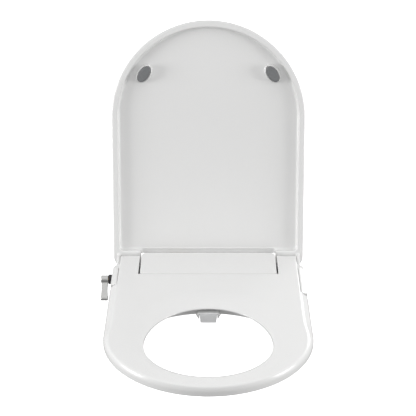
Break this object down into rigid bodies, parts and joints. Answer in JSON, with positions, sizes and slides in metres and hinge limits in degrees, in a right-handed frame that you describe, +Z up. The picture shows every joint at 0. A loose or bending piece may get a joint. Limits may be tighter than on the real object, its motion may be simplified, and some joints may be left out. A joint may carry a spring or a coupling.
{
  "type": "bidet toilet seat",
  "caption": "D-shaped toilet seat and lid on a slim base with a side lever valve, sliding wash nozzles, a nozzle guard and soft-close hinges.",
  "frame": {"origin": "midway between the two mounting bolts, on the plane of the toilet bowl's rim", "axes": "+Z up, -Y towards the seat's front, +X to the right seen from the front"},
  "size_m": [0.3885, 0.5956, 0.5303],
  "materials": {
    "white_plastic": "smooth gloss",
    "white_satin": "satin",
    "grey_rubber": "soft matte",
    "bumper_rubber": "soft matte",
    "dark_plastic": "satin",
    "chrome": "mirror",
    "steel": "brushed",
    "brass": "machined",
    "acetal": "smooth",
    "ceramic_disc": "ground",
    "hose_plastic": "translucent white",
    "nozzle_plastic": "gloss",
    "guard_plastic": "satin"
  },
  "bodies": {
    "lid": {"lid_shell": "white_plastic", "lid_bumpers": "grey_rubber", "lid_damper_shaft": "steel", "lid_pivot_pin": "steel"},
    "seat": {"seat_shell": "white_plastic", "seat_lower_cover": "white_satin", "seat_bumpers": "bumper_rubber", "seat_bush_left": "acetal", "seat_bush_right": "acetal", "seat_damper_shaft": "steel"},
    "base": {"base_housing": "white_satin", "wing_cover_left": "white_plastic", "wing_cover_right": "white_plastic", "front_deck_cover": "white_satin", "top_cover": "white_plastic", "housing_screws": "steel", "lid_damper_body": "acetal", "seat_damper_body": "acetal", "valve_body": "brass", "valve_cartridge": "ceramic_disc", "lever_collar": "dark_plastic", "inlet_connector": "brass", "inlet_filter": "steel", "inlet_hose": "hose_plastic", "rear_wash_hose": "hose_plastic", "front_wash_hose": "hose_plastic", "nozzle_block": "white_satin", "rear_nozzle_spring": "steel", "front_nozzle_spring": "steel", "guard_hood": "guard_plastic", "guard_pin": "steel", "button_spring": "steel"},
    "lever_body": {"lever": "chrome", "lever_screw": "steel", "valve_spindle": "brass"},
    "guard": {"guard_flap": "guard_plastic"},
    "rear_nozzle": {"rear_nozzle_tube": "nozzle_plastic", "rear_nozzle_tip": "nozzle_plastic"},
    "front_nozzle": {"front_nozzle_tube": "nozzle_plastic", "front_nozzle_tip": "nozzle_plastic"},
    "button": {"release_button": "white_plastic", "latch_bar": "acetal"},
    "mount": {"mounting_plate": "white_satin", "mounting_bolts": "steel", "cone_washers": "grey_rubber", "wing_nuts": "acetal"}
  },
  "joints": [
    {"name": "base_lift", "type": "slide", "parent": "mount", "child": "base", "axis": [0, 0, 1], "range_m": [0, 0.04]},
    {"name": "lid_hinge", "type": "hinge", "parent": "base", "child": "lid", "pos_m": [0, 0.042, 0.015], "axis": [-1, 0, 0], "range_deg": [-101.9, 0]},
    {"name": "seat_hinge", "type": "hinge", "parent": "base", "child": "seat", "pos_m": [0, 0.042, 0.015], "axis": [-1, 0, 0], "range_deg": [0, 95]},
    {"name": "lever_turn", "type": "hinge", "parent": "base", "child": "lever_body", "pos_m": [-0.19, -0.02, 0.0133], "axis": [-1, 0, 0], "range_deg": [-45, 45]},
    {"name": "guard_swing", "type": "hinge", "parent": "base", "child": "guard", "pos_m": [0, -0.1466, 0.0082], "axis": [-1, 0, 0], "range_deg": [0, 75]},
    {"name": "rear_nozzle_slide", "type": "slide", "parent": "base", "child": "rear_nozzle", "axis": [0, -0.9703, -0.2419], "range_m": [0, 0.05], "stiffness_N_per_m": 20, "springref_m": -0.02, "deforming": ["rear_nozzle_spring"]},
    {"name": "front_nozzle_slide", "type": "slide", "parent": "base", "child": "front_nozzle", "axis": [0, -0.9703, -0.2419], "range_m": [0, 0.05], "stiffness_N_per_m": 20, "springref_m": -0.02, "deforming": ["front_nozzle_spring"]},
    {"name": "button_press", "type": "slide", "parent": "base", "child": "button", "axis": [-1, 0, 0], "range_m": [0, 0.003], "stiffness_N_per_m": 600, "springref_m": -0.002, "deforming": ["button_spring"]}
  ]
}
